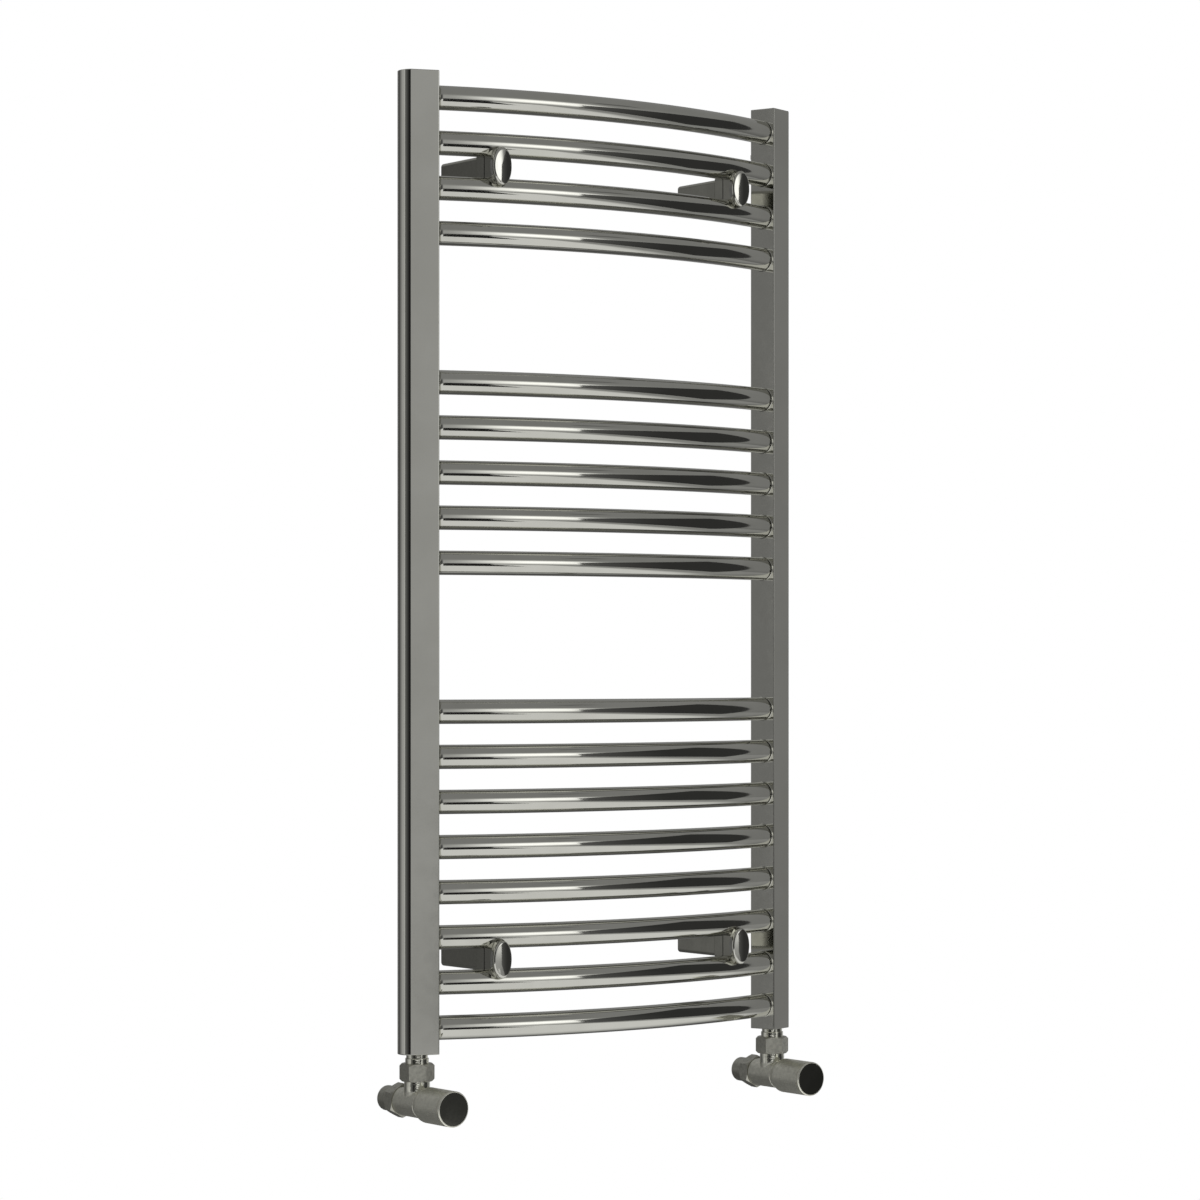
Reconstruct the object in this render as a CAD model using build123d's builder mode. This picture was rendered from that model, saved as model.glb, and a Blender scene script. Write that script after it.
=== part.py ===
from build123d import *
from math import cos, radians, sin, sqrt
import os

# A wall-hung, water-heated towel radiator: two D-section posts, seventeen bowed round rails,
# four clamp brackets and a pair of angled valves. Millimetres, +Z up, -Y faces the room,
# and the wall is the plane y = 0. The origin is the centre of the four wall screw holes.

os.makedirs("parts", exist_ok=True)

# Overall
height = 1000
width = 500
depth_to_wall = 64      # wall to the middle of the posts' inner faces
top = height / 2
bottom = -height / 2

# Posts: flat front and back, a rounded outer side, turned to meet the rails squarely
tilt = 19.6             # degrees each post is turned about Z
post_depth = 30
post_width = 40
post_bulge = 10         # how far the outer side rounds out
post_wall = 2
post_edge = 1           # corner radius at the inner face
post_shoulder = 3       # radius between the flats and the rounded side
plate = 2               # closing plates at both ends

# Rails
rail_radius = 12.5
rail_wall = 1.5
rail_pitch = 46
group_gap = 152         # centre to centre across an open bay
first_rail = 26         # lowest rail above the posts' feet
group_sizes = (8, 5, 4)
bead = 1.4              # weld bead leg where a rail meets a post

# Brackets
bracket_x = 154
bracket_z = 405
grip_clearance = 0.05
jaw_width = 20
jaw_height = 37
jaw_split = 0.6         # half the gap between jaw and saddle
jaw_reach = 15          # saddle thickness behind the rails' centre line
cap_width = 23
cap_height = 39.5
cap_back = 13.2         # cap rim in front of the rails' centre line
cap_front = 21.5
cap_round = 5
cap_wall = 1.7
cap_floor = 2.6
boss_length = 14
arm_width = 20
arm_height = 25
arm_round = 4
arm_wall = 1.8
arm_gap = 0.5           # between the arm's end and the wall
boss_play = 0.2         # gap all round between a wall boss and its arm
wall_screw_radius = 3
wall_screw_head = 5
countersink = 5         # depth of the recess for a wall screw's head
clamp_screw_radius = 2.5
clamp_hole_radius = 2.75
grub_radius = 2

# Valves: s runs along the valve axis, 0 at the tail's centre line, negative towards the room
valve_drop = 50         # valve axis below the posts' feet
tail_inset = 20         # tail axis from a post's inner face
body_radius = 15
body_back = 24
body_front = -14
body_edge = 0.6
thread_radius = 11      # bonnet thread
thread_end = -3.5       # inner end of the bonnet
chamber_radius = 9.5    # where the plunger travels
seat = 8.1
seat_radius = 5
pipe_stop = 12
pipe_radius = 7.55      # takes 15 mm pipe
spigot_end = 34
spigot_radius = 10.5
neck_radius = 13.2
neck_top = 34
bore_radius = 6.5
union_low = 22.5
union_high = 40.5
washer = 1              # flat washer between neck and tailpiece
tail_start = neck_top + washer
flange_radius = 13
flange = 2.5
shoulder_radius = 12
shoulder = 11
tail_radius = 11
tail_thread = 10.5
tail_bore = 7.5
tail_grip = 12          # thread inside the post's foot
nut_flats = 31
nut_trim = 2.2          # cone that trims the nuts' corners
nut_gap = 0.3           # between the body and the compression nut
nut_shoulder = 38       # where the compression nut's hexagon ends
skirt_start = 42
skirt_end = 56
skirt_radius = 13
olive_radius = 9.6
bonnet_flats = 23
bonnet_head = 4.4
gland_radius = 9
gland_end = -36
handle_radius = 18.25
handle_back = -14.5
flare_end = -24         # the grips widen from the body's radius up to here
flare_start = handle_back - 0.5
handle_bore = 14
rim_chamfer = 0.9
groove_at = -64.4       # fine groove behind the grips' front edge
groove_width = 0.5
groove_depth = 0.35
hub_back = -42          # where the handle's hub starts
hub_front = -60
handle_front = -67.8
cap_recess = 16.95      # radius of the recess for the end disc
running = 0.05          # radial clearance of turning and sliding fits
spindle_radius = 4
nose_radius = 3
plunger_radius = 7
collar_back = -12       # spindle collar's inner face
nose_end = -2.5
lift = 5                # plunger travel
square = 5.6            # spindle end, across flats
square_end = -56
disc = 1.95             # end disc thickness

bulge_radius = ((post_depth / 2) ** 2 + post_bulge ** 2) / (2 * post_bulge)
bulge_centre = post_width - bulge_radius
cos_tilt = cos(radians(tilt))
sin_tilt = sin(radians(tilt))
face_x = width / 2 - bulge_centre * cos_tilt - bulge_radius
post_y = -depth_to_wall
bow_radius = face_x / sin_tilt
bow_y = post_y + bow_radius * cos_tilt
bow_axis = Axis((0, bow_y, 0), (0, 0, 1))
tail_x = face_x + tail_inset * cos_tilt
tail_y = post_y + tail_inset * sin_tilt
valve_z = bottom - valve_drop
sides = ((-1, "left"), (1, "right"))

rail_heights = []
level = bottom + first_rail
for count in group_sizes:
    rail_heights += [level + rail_pitch * i for i in range(count)]
    level = rail_heights[-1] + group_gap


def post_plane(side, z):
    """Level plane at a post: local X runs outward from the rails, origin on the inner face."""
    return Plane(
        origin=(side * face_x, post_y, z), x_dir=(side * cos_tilt, sin_tilt, 0), z_dir=(0, 0, 1)
    )


def face_plane(side, z, inward=False):
    """Upright plane on a post's inner face, facing into the post, or inward to the rails."""
    turn = -1 if inward else 1
    out = (turn * side * cos_tilt, turn * sin_tilt, 0)
    return Plane(origin=(side * face_x, post_y, z), x_dir=(-out[1], out[0], 0), z_dir=out)


def post_outline(inset):
    """The posts' D outline, drawn in by inset all round."""
    half = post_depth / 2 - inset
    round_side = bulge_radius - inset
    flat_end = bulge_centre + sqrt(round_side ** 2 - half ** 2)
    with BuildSketch() as outline:
        with BuildLine():
            Polyline((flat_end, half), (inset, half), (inset, -half), (flat_end, -half))
            ThreePointArc((flat_end, -half), (post_width - inset, 0), (flat_end, half))
        make_face()
        corners = outline.vertices().sort_by(Axis.X)
        fillet(corners[:2], max(post_edge - inset, 0.4))
        fillet(corners[2:], max(post_shoulder - inset, 0.8))
    return outline.sketch


def rail_rod(z, radius):
    """A solid rod along one rail's arc, from post to post."""
    with BuildPart() as rod:
        with BuildSketch(face_plane(-1, z, inward=True)):
            Circle(radius)
        revolve(axis=bow_axis, revolution_arc=2 * tilt)
    return rod.part


def bow_line(x):
    """Y of the rails' centre line at x."""
    return bow_y - sqrt(bow_radius ** 2 - x ** 2)


def valve_plane(side):
    """Upright plane through a valve's axis: local X is s, local Y is the radius."""
    return Plane(origin=(side * tail_x, tail_y, valve_z), x_dir=(0, 1, 0), z_dir=(1, 0, 0))


def valve_axis(side):
    return Axis((side * tail_x, tail_y, valve_z), (0, 1, 0))


def cross_plane(side, s):
    """Plane across a valve's axis at s, facing the room."""
    return Plane(origin=(side * tail_x, tail_y + s, valve_z), x_dir=(1, 0, 0), z_dir=(0, -1, 0))


def neck_plane(side, h):
    """Level plane at a valve, h above its axis."""
    return Plane(origin=(side * tail_x, tail_y, valve_z + h), x_dir=(1, 0, 0), z_dir=(0, 0, 1))


def hexagon(plane, flats, length, trim):
    """A hexagon blank standing on plane, its corners trimmed by a cone at both ends."""
    with BuildPart() as envelope:
        with BuildSketch(plane):
            Circle(flats / sqrt(3))
        extrude(amount=length)
        chamfer(envelope.edges().filter_by(GeomType.CIRCLE), trim)
    with BuildPart() as blank:
        with BuildSketch(plane):
            RegularPolygon(flats / 2, 6, major_radius=False, rotation=90)
        extrude(amount=length)
        add(envelope.part, mode=Mode.INTERSECT)
    return blank.part


# Air vent, on the back of the right post between the two highest rails
vent_z = rail_heights[-1] - rail_pitch / 2
vent_along = 18         # from the inner face
vent_spigot = 5
vent_bore = 2.5
vent_length = 5
vent_flats = 12
vent_reach = 3          # spigot beyond the post's wall
vent_hole = 1
vent_key = 4.8          # bleed screw's square
vent_plane = Plane(
    origin=(
        face_x + vent_along * cos_tilt - post_depth / 2 * sin_tilt,
        post_y + vent_along * sin_tilt + post_depth / 2 * cos_tilt,
        vent_z,
    ),
    x_dir=(0, 0, 1),
    z_dir=(-sin_tilt, cos_tilt, 0),
)

# Posts: D tubes with a port for each rail
port_radius = rail_radius - rail_wall
for side, hand in sides:
    with BuildPart() as post:
        with BuildSketch(post_plane(side, bottom + plate)):
            add(post_outline(0))
            add(post_outline(post_wall), mode=Mode.SUBTRACT)
        extrude(amount=height - 2 * plate)
        with BuildSketch(face_plane(side, 0)):
            with Locations(*[(0, z) for z in rail_heights]):
                Circle(port_radius)
        extrude(amount=post_wall, mode=Mode.SUBTRACT)
        if side > 0:
            with BuildSketch(vent_plane):
                Circle(vent_spigot + running)
            extrude(amount=-2 * post_wall, mode=Mode.SUBTRACT)
    post.part.label = f"post_{hand}"
    export_step(post.part, f"parts/post_{hand}.step")

# Closing plates on top of both posts
with BuildPart() as top_plates:
    for side, hand in sides:
        with BuildSketch(post_plane(side, top - plate)):
            add(post_outline(0))
        extrude(amount=plate)
    fillet(top_plates.faces().sort_by(Axis.Z)[-2:].edges(), 0.8)
top_plates.part.label = "post_top_plates"
export_step(top_plates.part, "parts/post_top_plates.step")

# Foot plates, each with the threaded boss that takes a valve's tail
boss_radius = 12.8
boss_depth = 16
for side, hand in sides:
    with BuildPart() as foot:
        with BuildSketch(post_plane(side, bottom)):
            add(post_outline(0))
        extrude(amount=plate)
        fillet(foot.faces().sort_by(Axis.Z)[0].edges(), 0.8)
        with BuildSketch(post_plane(side, bottom + plate)):
            with Locations((tail_inset, 0)):
                Circle(boss_radius)
        extrude(amount=boss_depth - plate)
        with BuildSketch(post_plane(side, bottom)):
            with Locations((tail_inset, 0)):
                Circle(tail_thread)
        extrude(amount=boss_depth, mode=Mode.SUBTRACT)
    foot.part.label = f"inlet_boss_{hand}"
    export_step(foot.part, f"parts/inlet_boss_{hand}.step")

# Rails, numbered from the bottom
for number, z in enumerate(rail_heights, start=1):
    with BuildPart() as rail:
        with BuildSketch(face_plane(-1, z, inward=True)):
            Circle(rail_radius)
            Circle(rail_radius - rail_wall, mode=Mode.SUBTRACT)
        revolve(axis=bow_axis, revolution_arc=2 * tilt)
    rail.part.label = f"rail_{number:02d}"
    export_step(rail.part, f"parts/rail_{number:02d}.step")

# Weld beads round both ends of every rail
with BuildPart() as beads:
    for side, hand in sides:
        with Locations(*[face_plane(side, z, inward=True) for z in rail_heights]):
            Cone(
                bottom_radius=rail_radius + bead,
                top_radius=rail_radius + 0.2,
                height=bead,
                align=(Align.CENTER, Align.CENTER, Align.MIN),
            )
            Cylinder(
                radius=rail_radius + 0.01,
                height=bead,
                align=(Align.CENTER, Align.CENTER, Align.MIN),
                mode=Mode.SUBTRACT,
            )
beads.part.label = "weld_beads"
export_step(beads.part, "parts/weld_beads.step")

# Brackets: each clamps the inner halves of two neighbouring rails and stands off the wall
corners = [(level, side) for level in (1, -1) for side in (-1, 1)]
level_names = {1: "upper", -1: "lower"}
side_names = dict(sides)
clamp_line = bow_line(bracket_x)
saddle_back = clamp_line + jaw_reach
arm_end = -arm_gap
arm_socket = boss_length + 1.5
tapped_depth = 15


def bracket_plane(level, side, y):
    """Upright plane across a bracket at y, facing the wall."""
    return Plane(origin=(side * bracket_x, y, level * bracket_z), x_dir=(0, 0, 1), z_dir=(0, 1, 0))


gripped = [
    rail_rod(level * bracket_z + half * rail_pitch / 2, rail_radius + grip_clearance)
    for level in (1, -1)
    for half in (1, -1)
]

for level, side in corners:
    with BuildPart() as arm:
        with BuildSketch(bracket_plane(level, side, saddle_back)):
            RectangleRounded(arm_height, arm_width, arm_round)
        extrude(amount=arm_end - saddle_back)
        fillet(arm.faces().sort_by(Axis.Y)[-1].edges(), 0.6)
        with BuildSketch(bracket_plane(level, side, arm_end)):
            RectangleRounded(arm_height - 2 * arm_wall, arm_width - 2 * arm_wall, arm_round - arm_wall)
        extrude(amount=-arm_socket, mode=Mode.SUBTRACT)
        with BuildSketch(bracket_plane(level, side, saddle_back)):
            Circle(clamp_screw_radius)
        extrude(amount=tapped_depth, mode=Mode.SUBTRACT)
        with BuildSketch(Plane.XY.offset(level * bracket_z - arm_height / 2)):
            with Locations((side * bracket_x, -boss_length / 2)):
                Circle(grub_radius)
        extrude(amount=2 * arm_wall, mode=Mode.SUBTRACT)
    name = f"bracket_arm_{level_names[level]}_{side_names[side]}"
    arm.part.label = name
    export_step(arm.part, f"parts/{name}.step")

# Wall bosses, screwed to the wall inside the arms
with BuildPart() as bosses:
    for level, side in corners:
        with BuildSketch(bracket_plane(level, side, -boss_length)):
            inset = arm_wall + boss_play
            RectangleRounded(arm_height - 2 * inset, arm_width - 2 * inset, arm_round - inset)
        extrude(amount=boss_length)
    for level, side in corners:
        with BuildSketch(bracket_plane(level, side, -boss_length)):
            Circle(wall_screw_radius)
        extrude(amount=boss_length, mode=Mode.SUBTRACT)
        with BuildSketch(bracket_plane(level, side, -boss_length)):
            Circle(wall_screw_head)
        extrude(amount=countersink, mode=Mode.SUBTRACT)
bosses.part.label = "wall_bosses"
export_step(bosses.part, "parts/wall_bosses.step")

# Grub screws under the arms lock them to the bosses
with BuildPart() as grubs:
    for level, side in corners:
        grub_plane = Plane.XY.offset(level * bracket_z - arm_height / 2 + boss_play)
        with BuildSketch(grub_plane):
            with Locations((side * bracket_x, -boss_length / 2)):
                Circle(grub_radius - running)
        extrude(amount=arm_wall - boss_play / 2)
        with BuildSketch(grub_plane):
            with Locations((side * bracket_x, -boss_length / 2)):
                RegularPolygon(1, 6, major_radius=False)
        extrude(amount=1, mode=Mode.SUBTRACT)
grubs.part.label = "arm_grub_screws"
export_step(grubs.part, "parts/arm_grub_screws.step")

# Saddles behind the rails
with BuildPart() as saddles:
    for level, side in corners:
        with BuildSketch(bracket_plane(level, side, clamp_line + jaw_split)):
            RectangleRounded(jaw_height, jaw_width, 8)
        extrude(amount=jaw_reach - jaw_split)
    fillet(saddles.faces().group_by(Axis.Y)[-1].edges(), 0.4)
    for rod in gripped:
        add(rod, mode=Mode.SUBTRACT)
    for level, side in corners:
        with BuildSketch(bracket_plane(level, side, clamp_line)):
            Circle(clamp_hole_radius)
        extrude(amount=jaw_reach, mode=Mode.SUBTRACT)
saddles.part.label = "bracket_saddles"
export_step(saddles.part, "parts/bracket_saddles.step")

# Jaws in front of the rails, with an oval face that the caps clip over
jaw_face = clamp_line - 17
screw_head_radius = 4.2
screw_head = 2.8
with BuildPart() as jaws:
    for level, side in corners:
        with BuildSketch(bracket_plane(level, side, clamp_line - cap_back)):
            RectangleRounded(jaw_height, jaw_width, 8)
        extrude(amount=cap_back - jaw_split)
        with BuildSketch(bracket_plane(level, side, jaw_face)):
            Ellipse(cap_height / 2 - cap_wall - 0.1, cap_width / 2 - cap_wall - 0.1)
        extrude(amount=clamp_line - cap_back - jaw_face)
    for rod in gripped:
        add(rod, mode=Mode.SUBTRACT)
    for level, side in corners:
        with BuildSketch(bracket_plane(level, side, jaw_face)):
            Circle(clamp_hole_radius)
        extrude(amount=clamp_line - jaw_face, mode=Mode.SUBTRACT)
        with BuildSketch(bracket_plane(level, side, jaw_face)):
            Circle(screw_head_radius + 0.2)
        extrude(amount=screw_head + 0.1, mode=Mode.SUBTRACT)
jaws.part.label = "clamp_jaws"
export_step(jaws.part, "parts/clamp_jaws.step")

# Clamp screws pull jaw, saddle and arm together
with BuildPart() as clamp_screws:
    for level, side in corners:
        with BuildSketch(bracket_plane(level, side, jaw_face + 0.1)):
            Circle(screw_head_radius)
        extrude(amount=screw_head)
        with BuildSketch(bracket_plane(level, side, jaw_face + screw_head)):
            Circle(clamp_screw_radius - 0.02)
        extrude(amount=saddle_back + tapped_depth - 3 - jaw_face - screw_head)
        with BuildSketch(bracket_plane(level, side, jaw_face + 0.1)):
            RegularPolygon(2, 6, major_radius=False)
        extrude(amount=1.8, mode=Mode.SUBTRACT)
clamp_screws.part.label = "clamp_screws"
export_step(clamp_screws.part, "parts/clamp_screws.step")

# Oval snap-on caps with a rounded rim
with BuildPart() as caps:
    for level, side in corners:
        with BuildSketch(bracket_plane(level, side, clamp_line - cap_front)):
            Ellipse(cap_height / 2, cap_width / 2)
        extrude(amount=cap_front - cap_back)
    fillet(caps.faces().group_by(Axis.Y)[0].edges(), cap_round)
    for level, side in corners:
        with BuildSketch(bracket_plane(level, side, clamp_line - cap_back)):
            Ellipse(cap_height / 2 - cap_wall, cap_width / 2 - cap_wall)
        extrude(amount=cap_back + cap_floor - cap_front, mode=Mode.SUBTRACT)
caps.part.label = "bracket_caps"
export_step(caps.part, "parts/bracket_caps.step")

# Valves
for side, hand in sides:
    section = valve_plane(side)
    spin = valve_axis(side)
    with BuildPart() as body:
        with BuildSketch(section):
            with BuildLine():
                Polyline(
                    (body_front, 0),
                    (body_front, body_radius - body_edge / 2),
                    (body_front + body_edge / 2, body_radius),
                    (body_back - body_edge, body_radius),
                    (body_back, body_radius - body_edge),
                    (body_back, spigot_radius),
                    (spigot_end, spigot_radius),
                    (spigot_end, 0),
                    close=True,
                )
            make_face()
        revolve(axis=spin)
        with BuildSketch(neck_plane(side, 0)):
            Circle(neck_radius)
        extrude(amount=neck_top)
        with BuildSketch(section):
            with BuildLine():
                Polyline(
                    (body_front, 0),
                    (body_front, thread_radius),
                    (thread_end, thread_radius),
                    (thread_end, chamber_radius),
                    (seat, chamber_radius),
                    (seat, seat_radius),
                    (pipe_stop, seat_radius),
                    (pipe_stop, pipe_radius),
                    (spigot_end, pipe_radius),
                    (spigot_end, 0),
                    close=True,
                )
            make_face()
        revolve(axis=spin, mode=Mode.SUBTRACT)
        with BuildSketch(neck_plane(side, 0)):
            Circle(bore_radius)
        extrude(amount=neck_top, mode=Mode.SUBTRACT)
    body.part.label = f"valve_body_{hand}"
    export_step(body.part, f"parts/valve_body_{hand}.step")

    with BuildPart() as tail:
        with BuildSketch(neck_plane(side, tail_start)):
            Circle(flange_radius)
        extrude(amount=flange)
        with BuildSketch(neck_plane(side, tail_start)):
            Circle(shoulder_radius)
        extrude(amount=shoulder)
        fillet(tail.faces().sort_by(Axis.Z)[-1].edges(), 0.8)
        with BuildSketch(neck_plane(side, tail_start)):
            Circle(tail_radius)
        extrude(amount=valve_drop - tail_start)
        with BuildSketch(neck_plane(side, valve_drop)):
            Circle(tail_thread - running)
        extrude(amount=tail_grip)
        with BuildSketch(neck_plane(side, tail_start)):
            Circle(tail_bore)
        extrude(amount=valve_drop + tail_grip - tail_start, mode=Mode.SUBTRACT)
    tail.part.label = f"tailpiece_{hand}"
    export_step(tail.part, f"parts/tailpiece_{hand}.step")

    ring_groove = (gland_end + 5, gland_end + 7)
    with BuildPart() as bonnet:
        add(hexagon(cross_plane(side, body_front - 0.1), bonnet_flats, bonnet_head, 1))
        with BuildSketch(section):
            with BuildLine():
                Polyline(
                    (gland_end, 0),
                    (gland_end, gland_radius - 0.5),
                    (gland_end + 0.5, gland_radius),
                    (ring_groove[0], gland_radius),
                    (ring_groove[0], gland_radius - 0.9),
                    (ring_groove[1], gland_radius - 0.9),
                    (ring_groove[1], gland_radius),
                    (body_front - 0.1, gland_radius),
                    (body_front - 0.1, thread_radius - running),
                    (thread_end, thread_radius - running),
                    (thread_end, 0),
                    close=True,
                )
            make_face()
        revolve(axis=spin)
        with BuildSketch(section):
            with BuildLine():
                Polyline(
                    (gland_end, 0),
                    (gland_end, spindle_radius + running),
                    (collar_back - 1, spindle_radius + running),
                    (collar_back - 1, plunger_radius + 2 * running),
                    (thread_end, plunger_radius + 2 * running),
                    (thread_end, 0),
                    close=True,
                )
            make_face()
        revolve(axis=spin, mode=Mode.SUBTRACT)
    bonnet.part.label = f"bonnet_{hand}"
    export_step(bonnet.part, f"parts/bonnet_{hand}.step")

# The left valve is the hand-wheel one, the right valve the lock-shield one
seal_places = (-24, -29)
plunger_back = collar_back + lift + 0.5
plunger_front = seat - 2.1
plunger_floor = 2.5
valve_washer_radius = 6.4
collar = 0.95           # spindle collar
collar_radius = 6
seal_radius = 0.6
screw_bore = 1.6        # tapped hole in the spindle's end
screw_depth = 10
screw_well = 12
sleeve_back = -25       # the lock cap's narrow bore starts here
sleeve_end = -62
for side, kind in ((-1, "wheel"), (1, "lock")):
    section = valve_plane(side)
    spin = valve_axis(side)
    with BuildPart() as spindle:
        with BuildSketch(section):
            with BuildLine():
                Polyline(
                    (hub_back, 0),
                    (hub_back, spindle_radius),
                    (collar_back - collar, spindle_radius),
                    (collar_back - collar, collar_radius),
                    (collar_back, collar_radius),
                    (collar_back, nose_radius),
                    (nose_end, nose_radius),
                    (nose_end, 0),
                    close=True,
                )
            make_face()
        revolve(axis=spin)
        with BuildSketch(section):
            with Locations(*[(s, spindle_radius) for s in seal_places]):
                Rectangle(1.4, 2.4)
        revolve(axis=spin, mode=Mode.SUBTRACT)
        with BuildSketch(cross_plane(side, hub_back)):
            Rectangle(square, square)
        extrude(amount=hub_back - square_end)
        with BuildSketch(cross_plane(side, square_end)):
            Circle(screw_bore)
        extrude(amount=-screw_depth, mode=Mode.SUBTRACT)
    spindle.part.label = f"{kind}_spindle"
    export_step(spindle.part, f"parts/{kind}_spindle.step")

    with BuildPart() as seals:
        with BuildSketch(section):
            with Locations(*[(s, spindle_radius - seal_radius + 0.02) for s in seal_places]):
                Circle(seal_radius)
        revolve(axis=spin)
    seals.part.label = f"{kind}_spindle_seals"
    export_step(seals.part, f"parts/{kind}_spindle_seals.step")

    with BuildPart() as plunger:
        with BuildSketch(section):
            with BuildLine():
                Polyline(
                    (plunger_back, nose_radius + running),
                    (plunger_back, plunger_radius),
                    (plunger_front, plunger_radius),
                    (plunger_front, 0),
                    (plunger_front - plunger_floor, 0),
                    (plunger_front - plunger_floor, nose_radius + running),
                    close=True,
                )
            make_face()
        revolve(axis=spin)
    plunger.part.label = f"{kind}_plunger"
    export_step(plunger.part, f"parts/{kind}_plunger.step")

    with BuildPart() as valve_washer:
        with BuildSketch(cross_plane(side, seat - 0.1)):
            Circle(valve_washer_radius)
        extrude(amount=seat - 0.1 - plunger_front)
    valve_washer.part.label = f"{kind}_washer"
    export_step(valve_washer.part, f"parts/{kind}_washer.step")

    # Both grips look alike outside: a hub turns the spindle, a sleeve only covers it
    with BuildPart() as grip:
        with BuildSketch(section):
            with BuildLine():
                Polyline(
                    (flare_end, handle_radius),
                    (handle_front + rim_chamfer, handle_radius),
                    (handle_front, handle_radius - rim_chamfer),
                    (handle_front, 0),
                    (handle_back, 0),
                    (handle_back, body_radius),
                    (flare_start, body_radius),
                )
                Spline((flare_start, body_radius), (flare_end, handle_radius), tangents=((-1, 0), (-1, 0)))
            make_face()
        revolve(axis=spin)
        with BuildSketch(section):
            with Locations((groove_at, handle_radius)):
                Rectangle(groove_width, 2 * groove_depth)
        revolve(axis=spin, mode=Mode.SUBTRACT)
        with BuildSketch(cross_plane(side, handle_back)):
            Circle(handle_bore)
        extrude(amount=handle_back - (hub_back if kind == "wheel" else sleeve_back), mode=Mode.SUBTRACT)
        with BuildSketch(cross_plane(side, handle_front + disc + running)):
            Circle(cap_recess)
        extrude(amount=disc + running, mode=Mode.SUBTRACT)
        if kind == "wheel":
            with BuildSketch(cross_plane(side, hub_front)):
                Circle(screw_well)
            extrude(amount=hub_front - handle_front - disc, mode=Mode.SUBTRACT)
            with BuildSketch(cross_plane(side, hub_back)):
                Rectangle(square + 2 * running, square + 2 * running)
            extrude(amount=hub_back - square_end + 0.2, mode=Mode.SUBTRACT)
            with BuildSketch(cross_plane(side, hub_back)):
                Circle(screw_bore + 0.1)
            extrude(amount=hub_back - hub_front, mode=Mode.SUBTRACT)
        else:
            with BuildSketch(cross_plane(side, sleeve_back)):
                Circle(gland_radius + 0.6)
            extrude(amount=sleeve_back - sleeve_end, mode=Mode.SUBTRACT)
    name = "wheel_handle" if kind == "wheel" else "lock_cap"
    grip.part.label = name
    export_step(grip.part, f"parts/{name}.step")

    with BuildPart() as end_disc:
        with BuildSketch(cross_plane(side, handle_front + disc)):
            Circle(cap_recess - running)
        extrude(amount=disc)
        fillet(end_disc.faces().sort_by(Axis.Y)[0].edges(), 0.2)
    end_disc.part.label = f"{kind}_end_disc"
    export_step(end_disc.part, f"parts/{kind}_end_disc.step")

# Screw that holds the handle on the spindle
handle_screw_head = 3
cross_slot = 4.4
with BuildPart() as handle_screw:
    with BuildSketch(cross_plane(-1, square_end + screw_depth - 1)):
        Circle(screw_bore - running)
    extrude(amount=square_end + screw_depth - 1 - hub_front)
    with BuildSketch(cross_plane(-1, hub_front)):
        Circle(handle_screw_head)
    extrude(amount=2.2)
    with BuildSketch(cross_plane(-1, hub_front - 1)):
        Rectangle(cross_slot, 0.9)
        Rectangle(0.9, cross_slot)
    extrude(amount=1.2, mode=Mode.SUBTRACT)
handle_screw.part.label = "handle_screw"
export_step(handle_screw.part, "parts/handle_screw.step")

# Ring that the lock-shield cap grips
with BuildPart() as cap_ring:
    with BuildSketch(valve_plane(1)):
        with Locations((gland_end + 6, gland_radius - 0.18)):
            Circle(0.72)
    revolve(axis=valve_axis(1))
cap_ring.part.label = "lock_cap_ring"
export_step(cap_ring.part, "parts/lock_cap_ring.step")

# Union nuts draw the tailpieces down on the valve necks
with BuildPart() as union_nuts:
    for side, hand in sides:
        add(hexagon(neck_plane(side, union_low), nut_flats, union_high - union_low, nut_trim))
    for side, hand in sides:
        with BuildSketch(neck_plane(side, union_low)):
            Circle(neck_radius + running)
        extrude(amount=tail_start + flange + 0.1 - union_low, mode=Mode.SUBTRACT)
        with BuildSketch(neck_plane(side, union_low)):
            Circle(shoulder_radius + 0.1)
        extrude(amount=union_high - union_low, mode=Mode.SUBTRACT)
union_nuts.part.label = "union_nuts"
export_step(union_nuts.part, "parts/union_nuts.step")

# Flat washers between necks and tailpieces
with BuildPart() as union_washers:
    for side, hand in sides:
        with BuildSketch(neck_plane(side, neck_top)):
            Circle(flange_radius - 0.2)
            Circle(tail_bore + 0.1, mode=Mode.SUBTRACT)
        extrude(amount=washer)
union_washers.part.label = "union_washers"
export_step(union_washers.part, "parts/union_washers.step")

# Compression nuts with a smooth skirt, and the olives they squeeze on the pipes
with BuildPart() as pipe_nuts:
    for side, hand in sides:
        hex_length = nut_shoulder - body_back - nut_gap
        add(hexagon(cross_plane(side, nut_shoulder), nut_flats, hex_length, nut_trim))
        with BuildSketch(valve_plane(side)):
            with BuildLine():
                Polyline(
                    (nut_shoulder - 1, 0),
                    (nut_shoulder - 1, nut_flats / 2),
                    (nut_shoulder, nut_flats / 2 - 0.3),
                    (skirt_start, skirt_radius),
                    (skirt_end - body_edge, skirt_radius),
                    (skirt_end, skirt_radius - body_edge),
                    (skirt_end, 0),
                    close=True,
                )
            make_face()
        revolve(axis=valve_axis(side))
    for side, hand in sides:
        with BuildSketch(valve_plane(side)):
            with BuildLine():
                Polyline(
                    (body_back + nut_gap, 0),
                    (body_back + nut_gap, spigot_radius + running),
                    (nut_shoulder, spigot_radius + running),
                    (skirt_start - 0.5, pipe_radius),
                    (skirt_end, pipe_radius),
                    (skirt_end, 0),
                    close=True,
                )
            make_face()
        revolve(axis=valve_axis(side), mode=Mode.SUBTRACT)
pipe_nuts.part.label = "compression_nuts"
export_step(pipe_nuts.part, "parts/compression_nuts.step")

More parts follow.
